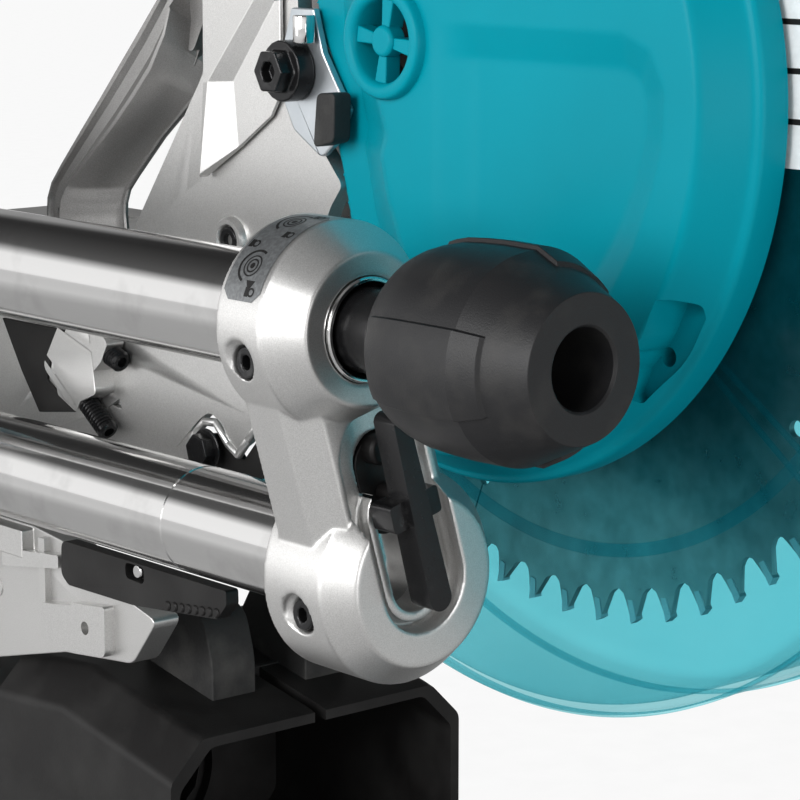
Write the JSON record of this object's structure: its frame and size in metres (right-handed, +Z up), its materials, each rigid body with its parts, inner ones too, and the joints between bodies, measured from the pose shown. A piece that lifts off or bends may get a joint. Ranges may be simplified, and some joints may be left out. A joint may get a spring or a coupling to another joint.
{
  "type": "sliding miter saw",
  "caption": "Sliding compound miter saw: turntable base with fences, fixed forward rails, tilting arm, sliding carriage, chop head with cased blade and clear guard.",
  "frame": {"origin": "on the floor, below the turntable's axis, at the centre of the bounding box's underside", "axes": "+Z up, +X to the operator's right, +Y from the operator towards the rear; the blade's plane is X = 0 and the fence's face is Y = 0"},
  "size_m": [0.644, 0.77, 0.6539],
  "materials": {
    "cast_aluminium": "fine cast, machined on top",
    "silver_paint": "satin metallic paint",
    "polished_steel": "hard chrome, polished",
    "blade_steel": "ground",
    "zinc_plate": "zinc plated",
    "black_steel": "black oxide",
    "black_plastic": "fine grain",
    "knob_grip": "fine grain",
    "teal_case": "satin",
    "clear_teal": "clear tinted polycarbonate",
    "rubber": "matt"
  },
  "bodies": {
    "base": {"base_casting": "cast_aluminium", "miter_scale": "zinc_plate", "fence_casting": "cast_aluminium", "foot_front_left": "rubber", "foot_front_right": "rubber", "foot_rear_left": "rubber", "foot_rear_right": "rubber"},
    "turntable": {"turntable_casting": "cast_aluminium", "kerf_board_left": "black_plastic", "kerf_board_right": "black_plastic", "arm_foot": "black_steel"},
    "miter_grip": {"miter_grip": "black_plastic"},
    "miter_release": {"miter_release_lever": "black_plastic"},
    "sub_fence_left": {"sub_fence_left": "cast_aluminium"},
    "sub_fence_right": {"sub_fence_right": "cast_aluminium"},
    "fence_knob_left": {"fence_knob_left": "black_plastic"},
    "fence_knob_right": {"fence_knob_right": "black_plastic"},
    "bevel_arm": {"bevel_arm_casting": "silver_paint", "upper_pole": "polished_steel", "lower_pole": "polished_steel", "end_block": "silver_paint", "upper_set_screw": "black_steel", "lower_set_screw": "black_steel", "lower_bracket": "silver_paint", "dust_nozzle": "black_plastic", "dust_duct": "black_plastic", "dust_flap": "rubber"},
    "bevel_lock": {"bevel_knob": "knob_grip", "bevel_lock_rod": "black_steel"},
    "latch": {"latch_lever": "black_steel"},
    "release_lever": {"release_lever": "black_plastic"},
    "carriage": {"carriage_casting": "silver_paint", "upper_bush": "zinc_plate", "lower_bush": "zinc_plate", "pivot_pin": "polished_steel", "stop_bolt_upper": "black_steel", "stop_bolt_lower": "black_steel"},
    "slide_lock": {"slide_lock_knob": "knob_grip"},
    "head": {"head_arm": "silver_paint", "return_spring": "black_steel", "arm_cover": "silver_paint", "carry_handle": "silver_paint", "stop_plate_bolt": "black_steel", "blade_case": "teal_case", "gear_housing": "silver_paint", "motor_housing": "teal_case", "motor_cap": "black_plastic", "main_handle": "black_plastic", "cord_gland": "rubber", "stop_pad": "rubber"},
    "stopper": {"stop_plate": "zinc_plate"},
    "guard": {"lower_guard": "clear_teal"},
    "blade": {"blade": "blade_steel", "spindle": "black_steel"},
    "armature": {"motor_armature": "black_steel"},
    "trigger": {"trigger": "teal_case"},
    "lock_off": {"lock_off_button": "black_plastic"},
    "spindle_lock": {"spindle_lock_button": "black_plastic"}
  },
  "joints": [
    {"name": "miter_turn", "type": "hinge", "parent": "base", "child": "turntable", "pos_m": [0, 0, 0.1], "axis": [0, 0, 1], "range_deg": [-60, 60]},
    {"name": "miter_grip_turn", "type": "hinge", "parent": "turntable", "child": "miter_grip", "pos_m": [0, -0.36, 0.08], "axis": [0, 1, 0], "range_deg": [-90, 270]},
    {"name": "miter_release_press", "type": "hinge", "parent": "turntable", "child": "miter_release", "pos_m": [0, -0.324, 0.043], "axis": [1, 0, 0], "range_deg": [0, 8], "stiffness_Nm_per_rad": 2, "springref_deg": -2.86},
    {"name": "sub_fence_left_slide", "type": "slide", "parent": "base", "child": "sub_fence_left", "axis": [-1, 0, 0], "range_m": [0, 0.018]},
    {"name": "sub_fence_right_slide", "type": "slide", "parent": "base", "child": "sub_fence_right", "axis": [1, 0, 0], "range_m": [-0.06, 0]},
    {"name": "fence_knob_left_turn", "type": "hinge", "parent": "base", "child": "fence_knob_left", "pos_m": [-0.196, 0.025, 0.128], "axis": [0, 1, 0], "range_deg": [-180, 180]},
    {"name": "fence_knob_right_turn", "type": "hinge", "parent": "base", "child": "fence_knob_right", "pos_m": [0.256, 0.025, 0.128], "axis": [0, 1, 0], "range_deg": [-180, 180]},
    {"name": "bevel_tilt", "type": "hinge", "parent": "turntable", "child": "bevel_arm", "pos_m": [0, 0.24, 0.1], "axis": [0, 1, 0], "range_deg": [-48, 5]},
    {"name": "bevel_lock_turn", "type": "hinge", "parent": "bevel_arm", "child": "bevel_lock", "pos_m": [-0.103, -0.14, 0.38], "axis": [0, 1, 0], "range_deg": [-60, 60]},
    {"name": "latch_rock", "type": "hinge", "parent": "bevel_arm", "child": "latch", "pos_m": [-0.0915, -0.092, 0.3365], "axis": [1, 0, 0], "range_deg": [0, 6], "stiffness_Nm_per_rad": 1, "springref_deg": -2.86},
    {"name": "release_lever_swing", "type": "hinge", "parent": "bevel_arm", "child": "release_lever", "pos_m": [-0.06, 0.0647, 0.281], "axis": [1, 0, 0], "range_deg": [0, 5], "stiffness_Nm_per_rad": 1, "springref_deg": -2.86},
    {"name": "slide", "type": "slide", "parent": "bevel_arm", "child": "carriage", "axis": [0, -1, 0], "range_m": [0, 0.2]},
    {"name": "slide_lock_turn", "type": "hinge", "parent": "carriage", "child": "slide_lock", "pos_m": [-0.103, 0.24, 0.42], "axis": [0, 0, 1], "range_deg": [-180, 180]},
    {"name": "chop", "type": "hinge", "parent": "carriage", "child": "head", "pos_m": [0, 0.205, 0.335], "axis": [1, 0, 0], "range_deg": [0, 41.8], "stiffness_Nm_per_rad": 20, "springref_deg": -114.59},
    {"name": "stopper_swing", "type": "hinge", "parent": "head", "child": "stopper", "pos_m": [-0.041, 0.0104, 0.4347], "axis": [1, 0, 0], "range_deg": [-12, 0]},
    {"name": "guard_swing", "type": "hinge", "parent": "head", "child": "guard", "pos_m": [0, -0.06, 0.415], "axis": [1, 0, 0], "range_deg": [-150, 0]},
    {"name": "blade_spin", "type": "hinge", "parent": "head", "child": "blade", "pos_m": [0, -0.06, 0.415], "axis": [1, 0, 0], "continuous": true},
    {"name": "armature_spin", "type": "hinge", "parent": "head", "child": "armature", "pos_m": [0.1, 0.008, 0.518], "axis": [1, 0, 0], "continuous": true},
    {"name": "trigger_squeeze", "type": "slide", "parent": "head", "child": "trigger", "axis": [0, 0, 1], "range_m": [0, 0.005], "stiffness_N_per_m": 400, "springref_m": -0.004},
    {"name": "lock_off_press", "type": "slide", "parent": "head", "child": "lock_off", "axis": [1, 0, 0], "range_m": [0, 0.0025], "stiffness_N_per_m": 300, "springref_m": -0.003},
    {"name": "spindle_lock_press", "type": "slide", "parent": "head", "child": "spindle_lock", "axis": [-1, 0, 0], "range_m": [0, 0.003], "stiffness_N_per_m": 400, "springref_m": -0.003}
  ],
  "couplings": [
    {"joint": "guard_swing", "follows": "chop", "ratio": -3.5885},
    {"joint": "armature_spin", "follows": "blade_spin", "ratio": -4.2}
  ]
}
